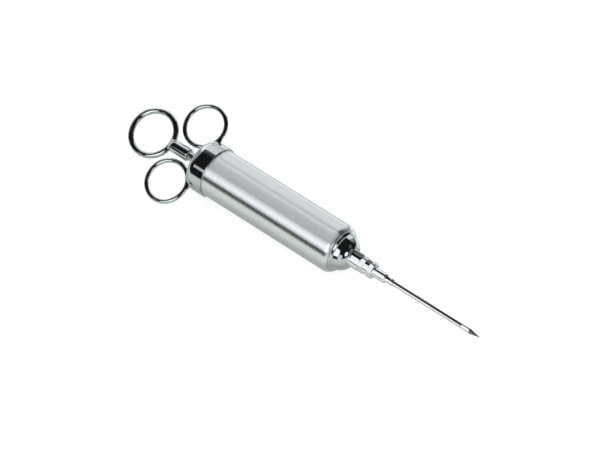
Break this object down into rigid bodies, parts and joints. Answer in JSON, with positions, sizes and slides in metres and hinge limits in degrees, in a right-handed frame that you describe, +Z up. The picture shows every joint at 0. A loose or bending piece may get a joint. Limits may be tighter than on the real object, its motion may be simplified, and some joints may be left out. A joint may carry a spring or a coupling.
{
  "type": "meat injector",
  "caption": "Syringe-shaped marinade injector with a satin barrel, screw cap with finger rings, thumb-ring plunger and a side-port needle.",
  "frame": {"origin": "on the table, under the middle of the tool's bounding box, as it lies with the cap rim and the lower finger ring on the table", "axes": "+X along the barrel towards the needle's point, +Z up; the plane of the rings holds X and rises towards +Y"},
  "size_m": [0.2836, 0.0672, 0.0352],
  "materials": {
    "satin_barrel": "satin, fine lengthwise grain",
    "polished_chrome": "mirror polished",
    "needle_steel": "fine drawn, bright",
    "rod_steel": "ground, bright",
    "piston_aluminium": "turned",
    "seal_rubber": "matt black"
  },
  "bodies": {
    "barrel": {"barrel_tube": "satin_barrel", "nose_cap": "polished_chrome", "nozzle": "polished_chrome"},
    "cap_seal": {"cap_gasket": "seal_rubber"},
    "cap": {"end_cap": "polished_chrome", "rod_bush": "polished_chrome", "upper_finger_ring": "polished_chrome", "lower_finger_ring": "polished_chrome"},
    "piston_seals": {"rear_seal_ring": "seal_rubber", "front_seal_ring": "seal_rubber"},
    "plunger": {"plunger_rod": "rod_steel", "thumb_ring": "polished_chrome", "piston_head": "piston_aluminium", "piston_back_washer": "rod_steel", "piston_front_washer": "rod_steel", "piston_nut": "rod_steel"},
    "needle": {"needle_hub": "polished_chrome", "hub_washer": "seal_rubber", "needle_neck": "needle_steel", "needle_collar": "needle_steel", "needle_tube": "needle_steel", "needle_tip": "needle_steel"},
    "hub_nut_body": {"hub_nut": "polished_chrome"}
  },
  "joints": [
    {"name": "plunger_draw", "type": "slide", "parent": "barrel", "child": "piston_seals", "axis": [-1, 0, 0], "range_m": [0, 0.083]},
    {"name": "plunger_turn", "type": "hinge", "parent": "piston_seals", "child": "plunger", "pos_m": [0, 0, 0.0176], "axis": [1, 0, 0], "continuous": true},
    {"name": "cap_back_off", "type": "slide", "parent": "barrel", "child": "cap_seal", "axis": [-1, 0, 0], "range_m": [0, 0.002]},
    {"name": "cap_turn", "type": "hinge", "parent": "cap_seal", "child": "cap", "pos_m": [0, 0, 0.0176], "axis": [-1, 0, 0], "range_deg": [0, 720]},
    {"name": "needle_back_off", "type": "slide", "parent": "barrel", "child": "needle", "axis": [1, 0, 0], "range_m": [0, 0.004]},
    {"name": "hub_nut_turn", "type": "hinge", "parent": "needle", "child": "hub_nut_body", "pos_m": [0, 0, 0.0176], "axis": [1, 0, 0], "range_deg": [0, 1440]}
  ],
  "couplings": [
    {"joint": "cap_turn", "follows": "cap_back_off", "rad_per_m": 6283.2},
    {"joint": "hub_nut_turn", "follows": "needle_back_off", "rad_per_m": 6283.2}
  ]
}
